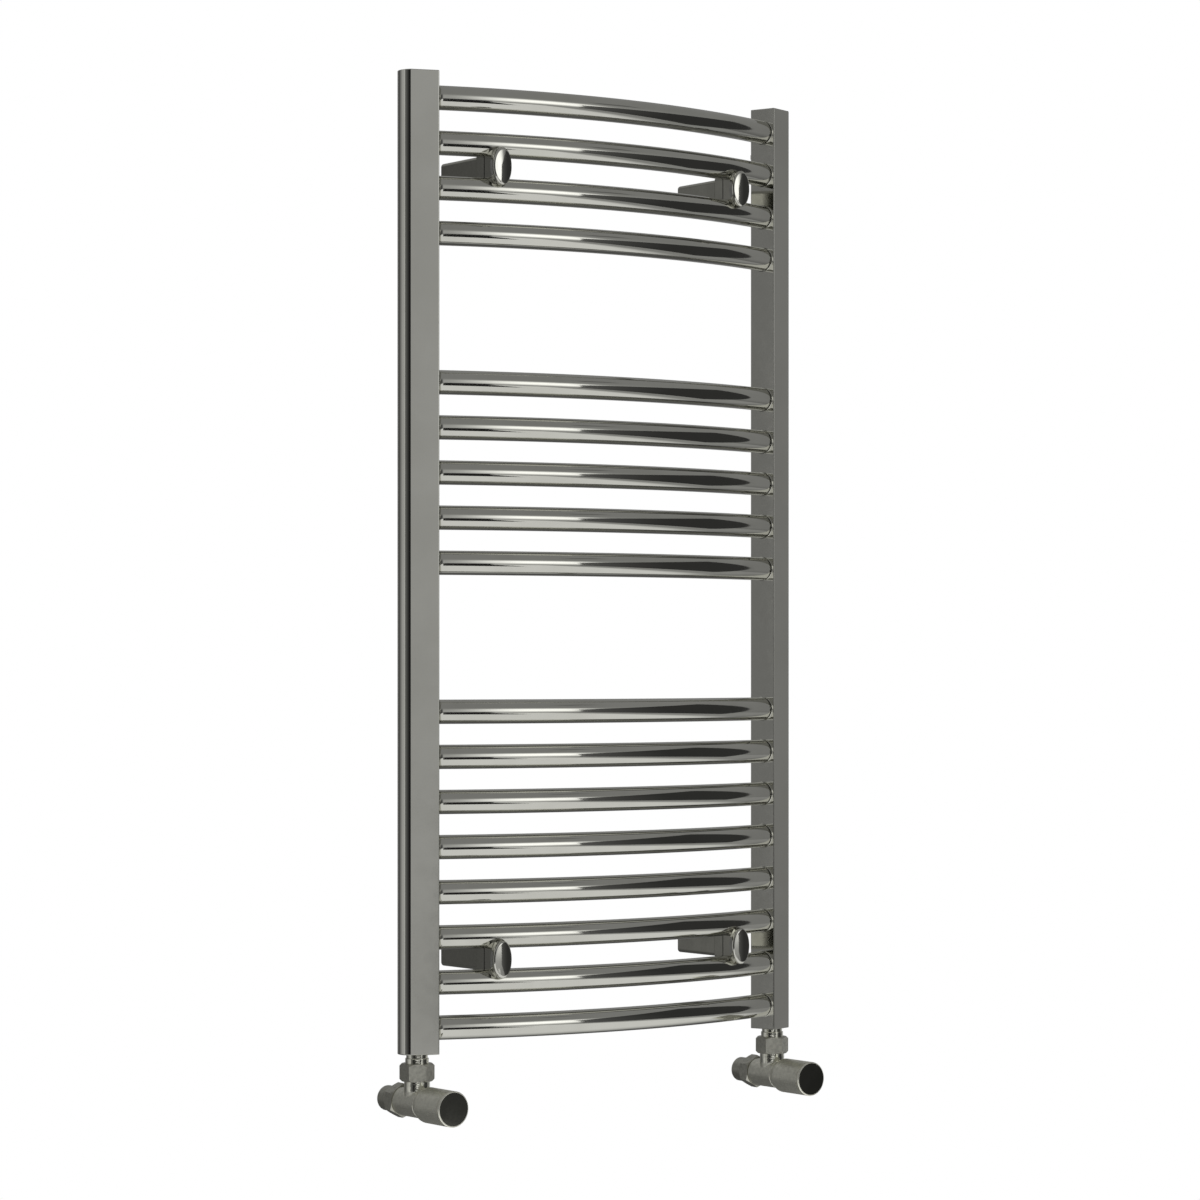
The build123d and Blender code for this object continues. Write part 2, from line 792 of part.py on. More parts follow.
with BuildPart() as olives:
    for side, hand in sides:
        with BuildSketch(valve_plane(side)):
            with BuildLine():
                Polyline(
                    (spigot_end + 0.1, pipe_radius),
                    (spigot_end + 0.1, olive_radius - 1),
                    (spigot_end + 2, olive_radius),
                    (nut_shoulder - 0.1, olive_radius),
                    (nut_shoulder + 1.4, olive_radius - 1.2),
                    (nut_shoulder + 1.4, pipe_radius),
                    close=True,
                )
            make_face()
        revolve(axis=valve_axis(side))
olives.part.label = "olives"
export_step(olives.part, "parts/olives.step")

# Air vent: a hexagon body with a square-headed bleed screw
with BuildPart() as vent:
    with BuildSketch(vent_plane):
        RegularPolygon(vent_flats / 2, 6, major_radius=False)
    extrude(amount=vent_length)
    with BuildSketch(vent_plane):
        Circle(vent_spigot)
    extrude(amount=-post_wall - vent_reach)
    with BuildSketch(vent_plane.offset(vent_length)):
        Circle(vent_bore + running)
    extrude(amount=-vent_length - post_wall - 1, mode=Mode.SUBTRACT)
    with BuildSketch(vent_plane.offset(vent_length)):
        Circle(vent_hole)
    extrude(amount=-vent_length - post_wall - vent_reach, mode=Mode.SUBTRACT)
    with BuildSketch(Plane(origin=vent_plane.origin + vent_plane.z_dir * vent_length / 2, z_dir=(0, 0, -1))):
        Circle(vent_hole)
    extrude(amount=vent_flats, mode=Mode.SUBTRACT)
vent.part.label = "vent_body"
export_step(vent.part, "parts/vent_body.step")

with BuildPart() as bleed:
    with BuildSketch(vent_plane.offset(-post_wall - 0.5)):
        Circle(vent_bore)
    extrude(amount=vent_length + post_wall + 0.5)
    with BuildSketch(vent_plane.offset(vent_length)):
        Rectangle(vent_key, vent_key)
    extrude(amount=5)
bleed.part.label = "vent_screw"
export_step(bleed.part, "parts/vent_screw.step")

print("rails bow", round(post_y - bow_line(0), 1), "mm, at a radius of", round(bow_radius))
print("tails at x", round(tail_x, 2), "y", round(tail_y, 2))
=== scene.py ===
import bmesh
import bpy
from math import cos, pi, radians, sin, sqrt
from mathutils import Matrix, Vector


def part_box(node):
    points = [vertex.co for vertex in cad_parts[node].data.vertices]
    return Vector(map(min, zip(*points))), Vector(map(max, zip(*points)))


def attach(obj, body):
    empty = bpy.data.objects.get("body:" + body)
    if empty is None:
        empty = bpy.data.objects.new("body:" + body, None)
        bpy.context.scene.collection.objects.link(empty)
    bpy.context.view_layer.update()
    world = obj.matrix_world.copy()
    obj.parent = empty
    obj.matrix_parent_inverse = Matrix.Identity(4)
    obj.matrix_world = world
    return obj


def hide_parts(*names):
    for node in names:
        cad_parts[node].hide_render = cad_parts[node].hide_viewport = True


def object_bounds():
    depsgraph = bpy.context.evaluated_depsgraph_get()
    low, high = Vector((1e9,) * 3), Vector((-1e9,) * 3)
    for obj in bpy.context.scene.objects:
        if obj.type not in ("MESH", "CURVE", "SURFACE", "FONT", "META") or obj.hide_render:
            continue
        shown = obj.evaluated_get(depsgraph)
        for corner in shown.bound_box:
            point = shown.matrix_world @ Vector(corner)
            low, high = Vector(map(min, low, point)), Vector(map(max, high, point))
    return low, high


# A wall-hung chrome towel radiator. Metres, +Z up, the wall is y = 0 and -Y faces the room.
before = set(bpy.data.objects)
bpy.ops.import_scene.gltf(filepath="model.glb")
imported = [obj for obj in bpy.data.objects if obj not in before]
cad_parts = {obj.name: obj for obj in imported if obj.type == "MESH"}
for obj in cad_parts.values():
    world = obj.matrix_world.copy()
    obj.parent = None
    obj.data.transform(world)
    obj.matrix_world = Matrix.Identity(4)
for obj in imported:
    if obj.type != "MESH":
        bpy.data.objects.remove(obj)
cadLow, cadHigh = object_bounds()
middle = (cadLow + cadHigh) / 2
mm = 0.001
print("frame loaded:", len(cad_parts), "CAD nodes")


# Camera, level and a little below the middle of the radiator, off to its left
camera = {"azimuth": -35.693, "distance": 3.855, "back": 0.0065, "drop": 0.068,
          "lens": 109.64, "rise": 0.0524}


def makeCamera(c):
    data = bpy.data.cameras.new("camera")
    data.lens = c["lens"]
    data.shift_y = c["rise"]
    eye = bpy.data.objects.new("camera", data)
    turn = radians(c["azimuth"])
    aim = Vector((0, middle.y + c["back"], middle.z - c["drop"]))
    eye.location = aim + c["distance"] * Vector((sin(turn), -cos(turn), 0))
    eye.rotation_euler = (pi / 2, 0, turn)
    bpy.context.scene.collection.objects.link(eye)
    bpy.context.scene.camera = eye


makeCamera(camera)
bpy.context.scene.view_settings.view_transform = "Standard"


# Small helpers for node trees. settings are a node's own properties, and the rest are its input sockets,
# by name with _ for a space, or i0, i1 and so on by number.
def addNode(tree, kind, settings=None, **sockets):
    node = tree.nodes.new(kind)
    for key, value in (settings or {}).items():
        setattr(node, key, value)
    for key, value in sockets.items():
        byNumber = key[0] == "i" and key[1:].isdigit()
        socket = node.inputs[int(key[1:])] if byNumber else node.inputs[key.replace("_", " ")]
        if hasattr(value, "is_output"):
            tree.links.new(value, socket)
        else:
            socket.default_value = value
    return node


def mathNode(tree, operation, a, b=None, c=None, clamp=False):
    values = {"i%d" % i: v for i, v in enumerate((a, b, c)) if v is not None}
    return addNode(tree, "ShaderNodeMath", {"operation": operation, "use_clamp": clamp}, **values).outputs[0]


def rangeNode(tree, value, low, high, start=0.0, end=1.0, style="SMOOTHSTEP"):
    node = addNode(tree, "ShaderNodeMapRange", {"interpolation_type": style},
                   Value=value, From_Min=low, From_Max=high, To_Min=start, To_Max=end)
    return node.outputs[0]


def colourMix(tree, share, first, second):
    # inputs 0, 6 and 7 of a Mix node are its factor and its two colours
    return addNode(tree, "ShaderNodeMix", {"data_type": "RGBA"}, i0=share, i6=first, i7=second).outputs[2]


def positionNode(tree):
    place = addNode(tree, "ShaderNodeNewGeometry")
    return addNode(tree, "ShaderNodeSeparateXYZ", i0=place.outputs["Position"])


def glowShader(tree, level):
    return addNode(tree, "ShaderNodeEmission", Color=(1, 1, 1, 1), Strength=level).outputs[0]


def newMaterial(name):
    material = bpy.data.materials.new(name)
    material.use_nodes = True
    material.node_tree.nodes.clear()
    return material, material.node_tree


def useSurface(tree, surface):
    addNode(tree, "ShaderNodeOutputMaterial", Surface=surface)


# The room: a pale floor, a soft window, and the dark things that the chrome mirrors
room = {
    "floorDrop": 0.57, "floorWide": 6.0, "floorNear": -4.6, "floorFar": 1.5, "floorTone": 0.93,
    "floorSmooth": 0.75, "floorRough": 0.9, "floorGrain": 3.0,
    "ceiling": 0.28, "ground": 0.15, "groundFade": 0.1, "skyToFloor": 1.0, "bandLow": 10, "bandHigh": 36,
    # radiance round the horizon by azimuth: from straight behind, round the left, the front and the right
    "horizon": ((-180, 0.16), (-160, 0.13), (-149, 0.08), (-146.5, 0.085), (-144, 0.19), (-133, 0.30),
                (-122, 0.44), (-113, 0.53), (-107, 0.32), (-102, 0.20), (-95, 0.18), (-87, 0.15),
                (-79, 0.09), (-71, 0.055), (-65, 0.012), (-56, 0.035), (-40, 0.10), (-14, 0.20),
                (-6, 0.47), (0, 0.46), (70, 0.27), (84, 0.25), (92, 0.06), (98, 0.06), (101, 0.9),
                (108, 0.9), (116, 0.27), (165, 0.27), (180, 0.16)),
    # what the chrome sees of the floor, as a painted glow: its level, the painted shade that dims it to the
    # right, and where it dims behind
    "glow": 0.78, "glowLow": 0.1, "rightStart": 1.05, "rightEnd": 1.5, "rightLevel": 0.3,
    "backStart": -0.3, "backEnd": 0.45,
    # the dark wall's level, which rises between these two distances into the room
    "wallNear": 0.042, "wallFar": 0.12, "wallStart": 2.0, "wallEnd": 5.4,
    # a dark mat on the floor, and the lamp overhead
    "matCorner": (-0.62, -4.5), "matLift": 0.01, "matAcross": (0.87, 0, 0), "matDeep": (0.2, 2.3, 0),
    "matLevel": 0.02, "lampSize": 4.0, "lampPlace": (0, -1.5, 3.2),
}
floorZ = cadLow.z - room["floorDrop"]

# Upright flats: where they start and run to over the floor, their heights, glow, and soft share of the edges
uprights = {
    "darkWall": {"start": (1.87, -0.72), "run": (0.58, -5.0), "bottom": floorZ, "top": 1.25},
    "window": {"start": (-0.85, -7.0), "run": (5.6, 0), "bottom": -1.3, "top": 3.9,
               "glow": 1.75, "soft": 0.42},
    "darkChest": {"start": (-0.62, -4.55), "run": (0.87, 0), "bottom": floorZ, "top": floorZ + 0.74,
                  "glow": 0.02},
    "lampShade": {"start": (0.6, -1.12), "run": (0.26, 0.2), "bottom": 1.1, "top": 1.4,
                  "glow": 0.15, "soft": 0.2},
    "brightStrip": {"start": (-0.9, 0), "run": (0, 0.15), "bottom": floorZ, "top": floorZ + 2.6,
                    "glow": 0.58},
    "rearWindow": {"start": (0.6, 2.4), "run": (-2.6, 0), "bottom": 2.4, "top": 4.7,
                   "glow": 1.3, "soft": 0.3},
}


def makeWorld(r):
    world = bpy.data.worlds.new("studio")
    bpy.context.scene.world = world
    world.use_nodes = True
    tree = world.node_tree
    tree.nodes.clear()
    coords = addNode(tree, "ShaderNodeTexCoord")
    split = addNode(tree, "ShaderNodeSeparateXYZ", i0=coords.outputs["Generated"])
    # azimuth, 0 towards the room and positive to the right
    turn = mathNode(tree, "ARCTAN2", split.outputs["X"], mathNode(tree, "MULTIPLY", split.outputs["Y"], -1.0))
    share = rangeNode(tree, turn, -pi, pi, style="LINEAR")
    band = addNode(tree, "ShaderNodeValToRGB", i0=share)
    stops = band.color_ramp.elements
    while len(stops) < len(r["horizon"]):
        stops.new(0.5)
    for stop, (azimuth, level) in zip(stops, r["horizon"]):
        stop.position = (azimuth + 180) / 360
        stop.color = (level, level, level, 1)
    # the horizon's band fades into the even ceiling above, and into a darker ground below
    rise = split.outputs["Z"]
    height = mathNode(tree, "ABSOLUTE", rise)
    fade = rangeNode(tree, height, sin(radians(r["bandLow"])), sin(radians(r["bandHigh"])))
    cover = rangeNode(tree, rise, -r["groundFade"], r["groundFade"], r["ground"], r["ceiling"])
    mirrored = addNode(tree, "ShaderNodeBackground", Color=colourMix(tree, fade, band.outputs["Color"], cover))
    plain = addNode(tree, "ShaderNodeBackground", Color=(1, 1, 1, 1), Strength=r["skyToFloor"])
    path = addNode(tree, "ShaderNodeLightPath")
    either = mathNode(tree, "MAXIMUM", path.outputs["Is Camera Ray"], path.outputs["Is Diffuse Ray"])
    choose = addNode(tree, "ShaderNodeMixShader", i0=either, i1=mirrored.outputs[0], i2=plain.outputs[0])
    addNode(tree, "ShaderNodeOutputWorld", Surface=choose.outputs[0])


def glowMaterial(name, level, soft=0.0):
    material, tree = newMaterial(name)
    surface = glowShader(tree, level)
    if soft:
        coords = addNode(tree, "ShaderNodeTexCoord")
        split = addNode(tree, "ShaderNodeSeparateXYZ", i0=coords.outputs["UV"])
        folds = [mathNode(tree, "PINGPONG", split.outputs[axis], 0.5) for axis in ("X", "Y")]
        edges = [rangeNode(tree, fold, 0.0, soft) for fold in folds]
        clear = addNode(tree, "ShaderNodeBsdfTransparent").outputs[0]
        both = mathNode(tree, "MULTIPLY", edges[0], edges[1])
        surface = addNode(tree, "ShaderNodeMixShader", i0=both, i1=clear, i2=surface).outputs[0]
    useSurface(tree, surface)
    return material


def wallMaterial(r):
    material, tree = newMaterial("darkWall")
    away = mathNode(tree, "MULTIPLY", positionNode(tree).outputs["Y"], -1.0)
    level = rangeNode(tree, away, r["wallStart"], r["wallEnd"], r["wallNear"], r["wallFar"], "LINEAR")
    useSurface(tree, glowShader(tree, level))
    return material


def floorMaterial(r):
    material, tree = newMaterial("paleFloor")
    noise = addNode(tree, "ShaderNodeTexNoise", Scale=r["floorGrain"], Detail=4.0)
    rough = rangeNode(tree, noise.outputs[0], 0.3, 0.7, r["floorSmooth"], r["floorRough"])
    tone = r["floorTone"]
    shader = addNode(tree, "ShaderNodeBsdfPrincipled", Base_Color=(tone, tone, tone, 1), Roughness=rough)
    useSurface(tree, shader.outputs[0])
    return material


# Painted light of the lit floor, as a glow that only the chrome sees, with painted shade towards the right
def floorGlow(r):
    material, tree = newMaterial("floorGlow")
    split = positionNode(tree)
    right = rangeNode(tree, split.outputs["X"], r["rightStart"], r["rightEnd"], 1.0, r["rightLevel"])
    back = rangeNode(tree, split.outputs["Y"], r["backStart"], r["backEnd"], 1.0, 0.0)
    level = mathNode(tree, "MULTIPLY_ADD", mathNode(tree, "MULTIPLY", right, back), r["glow"], r["glowLow"])
    useSurface(tree, glowShader(tree, level))
    return material


# A stage flat, from one corner along two edges, that only the chrome sees
def makeFlat(name, corner, across, up, material):
    corner, across, up = Vector(corner), Vector(across), Vector(up)
    mesh = bpy.data.meshes.new(name)
    mesh.from_pydata([corner, corner + across, corner + across + up, corner + up], [], [(0, 1, 2, 3)])
    layer = mesh.uv_layers.new(name="flat")
    for loop, uv in zip(layer.data, ((0, 0), (1, 0), (1, 1), (0, 1))):
        loop.uv = uv
    mesh.materials.append(material)
    flat = bpy.data.objects.new(name, mesh)
    bpy.context.scene.collection.objects.link(flat)
    flat.visible_camera = False
    flat.visible_diffuse = False
    return flat


def makeLamp(r):
    light = bpy.data.lights.new("overheadLight", "AREA")
    light.shape = "SQUARE"
    light.size = r["lampSize"]
    light.energy = r["ceiling"] * pi * light.size ** 2
    lamp = bpy.data.objects.new("overheadLight", light)
    lamp.location = r["lampPlace"]
    lamp.visible_glossy = False
    bpy.context.scene.collection.objects.link(lamp)


def makeRoom(r):
    makeWorld(r)
    makeLamp(r)
    corner = (-r["floorWide"] / 2, r["floorNear"], floorZ)
    across, deep = (r["floorWide"], 0, 0), (0, r["floorFar"] - r["floorNear"], 0)
    floor = makeFlat("floor", corner, across, deep, floorMaterial(r))
    floor.visible_camera = True
    floor.visible_diffuse = True
    floor.visible_glossy = False
    makeFlat("floorGlow", corner, across, deep, floorGlow(r))
    mat = r["matCorner"] + (floorZ + r["matLift"],)
    makeFlat("darkMat", mat, r["matAcross"], r["matDeep"], glowMaterial("darkMat", r["matLevel"]))
    for name, f in uprights.items():
        material = glowMaterial(name, f["glow"], f.get("soft", 0.0)) if "glow" in f else wallMaterial(r)
        up = (0, 0, f["top"] - f["bottom"])
        makeFlat(name, f["start"] + (f["bottom"],), f["run"] + (0,), up, material)


makeRoom(room)
print("room ready")


# Effects that several finishes share. Each pair of low and high is the part of the noise that counts.
effects = {"fineTimes": 9.0, "fineShare": 0.35, "smearLow": 0.38, "smearHigh": 0.62,
           "toneLow": 0.35, "toneHigh": 0.7, "edgeLow": 0.86, "edgeHigh": 0.995,
           "chipLow": 0.35, "chipHigh": 0.6}
number, colour, arrow = "NodeSocketFloat", "NodeSocketColor", "NodeSocketVector"


def newGroup(name, inputs, output):
    tree = bpy.data.node_groups.new(name, "ShaderNodeTree")
    for label, kind, value in inputs:
        socket = tree.interface.new_socket(name=label, in_out="INPUT", socket_type=kind)
        socket.default_value = value
    tree.interface.new_socket(name=output[0], in_out="OUTPUT", socket_type=output[1])
    return tree, tree.nodes.new("NodeGroupInput").outputs, tree.nodes.new("NodeGroupOutput").inputs[0]


def objectNoise(tree, size, detail, **others):
    place = addNode(tree, "ShaderNodeTexCoord").outputs["Object"]
    return addNode(tree, "ShaderNodeTexNoise", Vector=place, Scale=size, Detail=detail, **others).outputs[0]


# Roughness that drifts between two values, with finer wipe marks in it
def makeSmearGroup(e):
    inputs = (("Size", number, 20.0), ("Low", number, 0.05), ("High", number, 0.1))
    tree, start, end = newGroup("smear", inputs, ("Roughness", number))
    wide = objectNoise(tree, start["Size"], 3.0)
    fine = objectNoise(tree, mathNode(tree, "MULTIPLY", start["Size"], e["fineTimes"]), 2.0, Distortion=0.6)
    rest = mathNode(tree, "MULTIPLY", wide, 1 - e["fineShare"])
    both = mathNode(tree, "MULTIPLY_ADD", fine, e["fineShare"], rest)
    rough = rangeNode(tree, both, e["smearLow"], e["smearHigh"], start["Low"], start["High"], "LINEAR")
    tree.links.new(rough, end)
    return tree


# Plating colour that drifts between two close tones
def makeToneGroup(e):
    inputs = (("Tone", colour, (0.6, 0.6, 0.55, 1)), ("Shade", colour, (0.5, 0.5, 0.45, 1)),
              ("Size", number, 12.0), ("Amount", number, 0.5))
    tree, start, end = newGroup("platingTone", inputs, ("Color", colour))
    drift = rangeNode(tree, objectNoise(tree, start["Size"], 4.0, Roughness=0.6), e["toneLow"], e["toneHigh"])
    share = mathNode(tree, "MULTIPLY", drift, start["Amount"])
    tree.links.new(colourMix(tree, share, start["Tone"], start["Shade"]), end)
    return tree


# Surface height: orange peel, and polishing lines drawn out along one way
def makeGrainGroup():
    inputs = (("Peel Size", number, 300.0), ("Peel", number, 0.5), ("Stretch", arrow, (1.0, 1.0, 1.0)),
              ("Lines", number, 0.5))
    tree, start, end = newGroup("platedGrain", inputs, ("Height", number))
    peel = objectNoise(tree, start["Peel Size"], 2.0)
    coords = addNode(tree, "ShaderNodeTexCoord")
    drawn = addNode(tree, "ShaderNodeVectorMath", {"operation": "MULTIPLY"},
                    i0=coords.outputs["Object"], i1=start["Stretch"])
    lines = addNode(tree, "ShaderNodeTexNoise", Vector=drawn.outputs[0], Scale=1.0, Detail=2.0)
    peeled = mathNode(tree, "MULTIPLY", peel, start["Peel"])
    tree.links.new(mathNode(tree, "MULTIPLY_ADD", lines.outputs[0], start["Lines"], peeled), end)
    return tree


# Mask of worn edges, where the rounded normal leaves the face's own
def makeEdgeGroup(e):
    inputs = (("Width", number, 0.6 * mm), ("Size", number, 250.0))
    tree, start, end = newGroup("wornEdge", inputs, ("Mask", number))
    rounded = addNode(tree, "ShaderNodeBevel", Radius=start["Width"])
    plain = addNode(tree, "ShaderNodeNewGeometry")
    match = addNode(tree, "ShaderNodeVectorMath", {"operation": "DOT_PRODUCT"},
                    i0=rounded.outputs[0], i1=plain.outputs["Normal"])
    edge = rangeNode(tree, match.outputs["Value"], e["edgeLow"], e["edgeHigh"], 1.0, 0.0)
    chips = rangeNode(tree, objectNoise(tree, start["Size"], 3.0), e["chipLow"], e["chipHigh"])
    tree.links.new(mathNode(tree, "MULTIPLY", edge, chips, clamp=True), end)
    return tree


groups = {"smear": makeSmearGroup(effects), "tone": makeToneGroup(effects), "grain": makeGrainGroup(),
          "edge": makeEdgeGroup(effects)}


def useGroup(tree, name, **sockets):
    return addNode(tree, "ShaderNodeGroup", {"node_tree": groups[name]}, **sockets).outputs[0]


# Finishes, one for each of the record's slots: two tones, roughness from low to high, the size of their
# drift, orange peel by size and depth, polishing lines by stretch and depth, bump in metres, and edge wear
bright, grey = (0.60, 0.598, 0.55), (0.54, 0.537, 0.49)
finishes = {
    "rail_chrome": {"tone": bright, "shade": grey, "low": 0.045, "high": 0.085, "size": 14,
                    "peelSize": 160, "peel": 0.25, "stretch": (30, 900, 900), "lines": 0.25,
                    "bump": 0.000012, "edge": 0.0},
    "post_chrome": {"tone": bright, "shade": grey, "low": 0.05, "high": 0.09, "size": 9,
                    "peelSize": 120, "peel": 0.4, "stretch": (900, 900, 12), "lines": 0.3,
                    "bump": 0.000012, "edge": 0.05},
    "weld_chrome": {"tone": bright, "shade": grey, "low": 0.08, "high": 0.2, "size": 90,
                    "peelSize": 700, "peel": 0.6, "stretch": (300, 300, 300), "lines": 0.3,
                    "bump": 0.00003, "edge": 0.0},
    "bracket_chrome": {"tone": (0.5, 0.497, 0.44), "shade": (0.42, 0.417, 0.37), "low": 0.08, "high": 0.16,
                       "size": 40, "peelSize": 220, "peel": 0.6, "stretch": (700, 20, 700), "lines": 0.3,
                       "bump": 0.00002, "edge": 0.25},
    "cap_chrome": {"tone": bright, "shade": grey, "low": 0.05, "high": 0.1, "size": 40,
                   "peelSize": 200, "peel": 0.4, "stretch": (400, 400, 400), "lines": 0.1,
                   "bump": 0.000012, "edge": 0.0},
    # "polish" is the share of the roughness that stays on the necks, above the barrels
    # the valve's tones sit above plain chrome's: painted light for the brightness the valve bodies catch
    "valve_chrome": {"tone": (0.80, 0.795, 0.70), "shade": (0.58, 0.576, 0.51), "low": 0.34, "high": 0.50,
                     "size": 240, "peelSize": 520, "peel": 1.0, "stretch": (900, 60, 900), "lines": 0.3,
                     "bump": 0.00008, "edge": 0.06, "polish": 0.15},
    "nut_chrome": {"tone": (0.52, 0.516, 0.455), "shade": (0.36, 0.357, 0.315), "low": 0.28, "high": 0.44,
                   "size": 300, "peelSize": 620, "peel": 1.0, "stretch": (500, 500, 500), "lines": 0.3,
                   "bump": 0.00008, "edge": 0.45},
    # the grips' tones sit above plain chrome's: painted light for the brighter sheen on the handles
    "grip_chrome": {"tone": (0.88, 0.875, 0.77), "shade": (0.66, 0.656, 0.58), "low": 0.36, "high": 0.50,
                    "size": 240, "peelSize": 520, "peel": 0.8, "stretch": (900, 40, 900), "lines": 0.5,
                    "bump": 0.00007, "edge": 0.08},
    # the discs' tones sit far below plain chrome's: painted shade for the dark the flat discs mirror
    "disc_chrome": {"tone": (0.30, 0.30, 0.265), "shade": (0.23, 0.23, 0.20), "low": 0.03, "high": 0.07,
                    "size": 60, "peelSize": 300, "peel": 0.4, "stretch": (600, 600, 600), "lines": 0.3,
                    "bump": 0.000004, "edge": 0.0},
    "vent_chrome": {"tone": bright, "shade": grey, "low": 0.1, "high": 0.22, "size": 90,
                    "peelSize": 400, "peel": 0.5, "stretch": (600, 600, 600), "lines": 0.3,
                    "bump": 0.00002, "edge": 0.35},
    "cast_zinc": {"tone": (0.36, 0.37, 0.38), "shade": (0.27, 0.275, 0.28), "low": 0.4, "high": 0.6,
                  "size": 80, "peelSize": 500, "peel": 1.0, "stretch": (300, 300, 300), "lines": 0.3,
                  "bump": 0.0001, "edge": 0.3},
    "screw_steel": {"tone": (0.46, 0.46, 0.45), "shade": (0.34, 0.335, 0.31), "low": 0.25, "high": 0.4,
                    "size": 150, "peelSize": 700, "peel": 0.5, "stretch": (900, 900, 900), "lines": 0.5,
                    "bump": 0.00004, "edge": 0.4},
    "brass": {"tone": (0.70, 0.52, 0.24), "shade": (0.50, 0.36, 0.17), "low": 0.22, "high": 0.38,
              "size": 120, "peelSize": 500, "peel": 0.4, "stretch": (60, 1500, 60), "lines": 0.7,
              "bump": 0.00004, "edge": 0.3},
    "black_rubber": {"tone": (0.02, 0.02, 0.02), "shade": (0.045, 0.043, 0.04), "low": 0.5, "high": 0.75,
                     "size": 200, "peelSize": 1500, "peel": 0.6, "stretch": (400, 400, 400), "lines": 0.2,
                     "bump": 0.00004, "edge": 0.0, "toneShare": 0.8, "metal": 0.0},
}
wornTone = (0.74, 0.72, 0.66, 1)
# the valves' necks leave their barrels a little above the handle's axis
neck = {"rise": 11 * mm, "fade": 3 * mm}
handleLow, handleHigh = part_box("wheel_handle")
neckZ = (handleLow.z + handleHigh.z) / 2 + neck["rise"]


def makeFinish(slotName, f):
    material, tree = newMaterial(slotName + "Finish")
    tone = useGroup(tree, "tone", Tone=f["tone"] + (1,), Shade=f["shade"] + (1,), Size=f["size"],
                    Amount=f.get("toneShare", 0.7))
    rough = useGroup(tree, "smear", Size=f["size"], Low=f["low"], High=f["high"])
    if "polish" in f:
        coords = addNode(tree, "ShaderNodeTexCoord")
        place = addNode(tree, "ShaderNodeSeparateXYZ", i0=coords.outputs["Object"])
        satin = rangeNode(tree, place.outputs["Z"], neckZ, neckZ + neck["fade"], 1.0, f["polish"])
        rough = mathNode(tree, "MULTIPLY", rough, satin)
    if f["edge"]:
        tone = colourMix(tree, mathNode(tree, "MULTIPLY", useGroup(tree, "edge"), f["edge"]), tone, wornTone)
    grain = useGroup(tree, "grain", Peel_Size=f["peelSize"], Peel=f["peel"], Stretch=f["stretch"],
                     Lines=f["lines"])
    bump = addNode(tree, "ShaderNodeBump", Strength=1.0, Distance=f["bump"], Height=grain)
    shader = addNode(tree, "ShaderNodeBsdfPrincipled", Base_Color=tone, Metallic=f.get("metal", 1.0),
                     Roughness=rough, Normal=bump.outputs[0])
    useSurface(tree, shader.outputs[0])
    return material


materials = {name: makeFinish(name, f) for name, f in finishes.items()}
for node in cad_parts.values():
    for slot in node.material_slots:
        slot.material = materials[slot.material.name.split(".")[0]]
print("finishes ready:", len(materials))


# Pieces made here in place of CAD nodes whose surfaces are too coarse to mirror cleanly
def finishPiece(name, build, slotName, replaced):
    bmesh.ops.recalc_face_normals(build, faces=build.faces)
    mesh = bpy.data.meshes.new(name)
    build.to_mesh(mesh)
    build.free()
    mesh.materials.append(materials[slotName])
    piece = bpy.data.objects.new(name, mesh)
    bpy.context.scene.collection.objects.link(piece)
    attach(piece, "radiator")
    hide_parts(replaced)


def circleAngles(steps):
    return [2 * pi * k / steps for k in range(steps)]


# Faces between neighbouring rows of points, each row a closed ring; closed joins the last row to the first
def skin(build, rows, closed):
    rings = [[build.verts.new(point) for point in row] for row in rows]
    pairs = list(zip(rings, rings[1:]))
    if closed:
        pairs.append((rings[-1], rings[0]))
    for a, b in pairs:
        for i in range(len(a)):
            j = (i + 1) % len(a)
            build.faces.new((a[i], a[j], b[j], b[i])).smooth = True
    return rings


# Rails, bowed towards the room; tilt is the angle at their ends
rails = {"count": 17, "tilt": 19.6, "round": 72, "along": 96}
railBoxes = [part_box("rail_%02d" % (i + 1)) for i in range(rails["count"])]
railHeights = [(low.z + high.z) / 2 for low, high in railBoxes]
railRadius = (railBoxes[0][1].z - railBoxes[0][0].z) / 2
tilt = radians(rails["tilt"])
endX = railBoxes[0][1].x - railRadius * sin(tilt)
endY = railBoxes[0][1].y - railRadius * cos(tilt)
bowRadius = endX / sin(tilt)
bowY = endY + bowRadius * cos(tilt)


# A point by angle along the bow, and by distances from the centre line towards the room and up
def railPoint(turn, z, out, up):
    return Vector(((bowRadius + out) * sin(turn), bowY - (bowRadius + out) * cos(turn), z + up))


def makeRails(r):
    angles = circleAngles(r["round"])
    for i, z in enumerate(railHeights):
        build = bmesh.new()
        rows = []
        for k in range(r["along"] + 1):
            turn = tilt * (2 * k / r["along"] - 1)
            rows.append([railPoint(turn, z, railRadius * cos(a), railRadius * sin(a)) for a in angles])
        rings = skin(build, rows, closed=False)
        build.faces.new(rings[0])
        build.faces.new(rings[-1])
        finishPiece("towelRail_%02d" % (i + 1), build, "rail_chrome", "rail_%02d" % (i + 1))


makeRails(rails)
print("rails ready")

# Weld beads round the rails' ends, rippled as they were laid
welds = {"leg": 0.65 * mm, "bulge": 0.12 * mm, "ripple": 0.05 * mm, "ripples": 38, "round": 152,
         "section": 7, "clear": 0.01 * mm}


def weldRow(w, centre, outward, a):
    level = Vector((-outward.y, outward.x, 0))
    spoke = level * cos(a) + Vector((0, 0, sin(a)))
    wave = w["ripple"] * abs(sin(w["ripples"] * a / 2))
    foot = railRadius + w["clear"]
    row = [centre + spoke * foot]
    for i in range(w["section"] + 1):
        share = i / w["section"]
        lift = (w["bulge"] + wave) * sin(pi * share) / sqrt(2)
        along = min(w["leg"] * (1 - share) + lift, w["leg"])
        row.append(centre - outward * along + spoke * (foot + w["leg"] * share + lift))
    return row


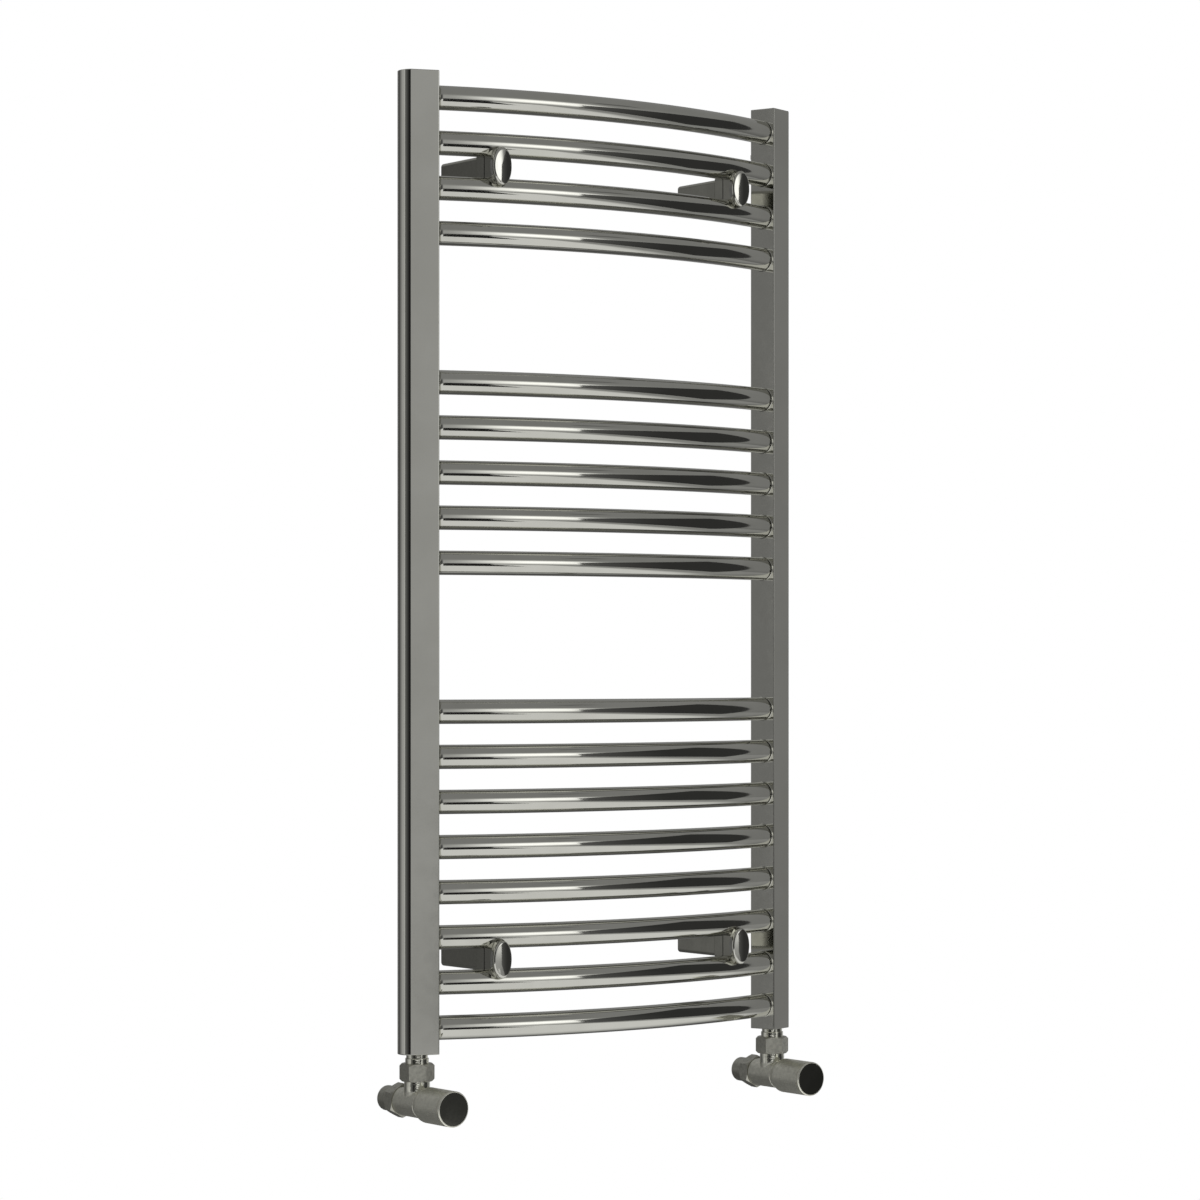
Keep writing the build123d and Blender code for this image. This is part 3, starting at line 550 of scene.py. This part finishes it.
def makeWelds(w):
    build = bmesh.new()
    for z in railHeights:
        for side in (-1, 1):
            outward = Vector((side * cos(tilt), sin(tilt), 0))
            centre = Vector((side * endX, endY, z))
            skin(build, [weldRow(w, centre, outward, a) for a in circleAngles(w["round"])], closed=True)
    finishPiece("weldBeads", build, "weld_chrome", "weld_beads")


makeWelds(welds)
print("welds ready")

# Oval caps over the clamp jaws: a shallow lens in front, a rounded rim, and sides that taper to the front.
# lens and taper are shares of the oval, and the sags are how far the lens falls back across and up.
caps = {"wall": 1.5 * mm, "round": 96, "steps": 10, "lens": 0.82, "taper": 0.02,
        "sagAcross": 1.25 * mm, "sagUp": 0.55 * mm, "rim": 2.6 * mm}


# From the tip to the back edge: share of the oval, share of the lens's sag, and depth
def capProfile(c, deep):
    profile = [(c["lens"] * i / c["steps"], (i / c["steps"]) ** 2, 0.0) for i in range(c["steps"])]
    width = 1 - c["taper"] - c["lens"]
    for i in range(c["steps"] + 1):
        turn = pi / 2 * i / c["steps"]
        profile.append((c["lens"] + width * sin(turn), 1.0, c["rim"] * (1 - cos(turn))))
    return profile + [(1.0, 0.0, deep)]


def makeCaps(c):
    low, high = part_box("bracket_caps")
    arms = [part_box(name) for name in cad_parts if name.startswith("bracket_arm")]
    centres = [(a + b) / 2 for a, b in arms]
    halfX = high.x - max(centre.x for centre in centres)
    halfZ = high.z - max(centre.z for centre in centres)
    deep = high.y - low.y
    build = bmesh.new()
    for centre in centres:
        outer, inner = [], []
        for share, sag, depth in capProfile(c, deep):
            for rows, wall in ((outer, 0.0), (inner, c["wall"])):
                row = []
                for a in circleAngles(c["round"]):
                    drop = depth + sag * (c["sagAcross"] * cos(a) ** 2 + c["sagUp"] * sin(a) ** 2)
                    row.append(Vector((centre.x + (halfX - wall) * share * cos(a),
                                       low.y + wall + drop * (deep - wall) / deep,
                                       centre.z + (halfZ - wall) * share * sin(a))))
                rows.append(row)
        rings = skin(build, outer[1:] + inner[:0:-1], closed=False)
        for ring, y in ((rings[0], low.y), (rings[-1], low.y + c["wall"])):
            tip = build.verts.new((centre.x, y, centre.z))
            for i in range(len(ring)):
                build.faces.new((ring[i], ring[(i + 1) % len(ring)], tip)).smooth = True
    finishPiece("ovalCaps", build, "cap_chrome", "bracket_caps")


makeCaps(caps)
print("caps ready")
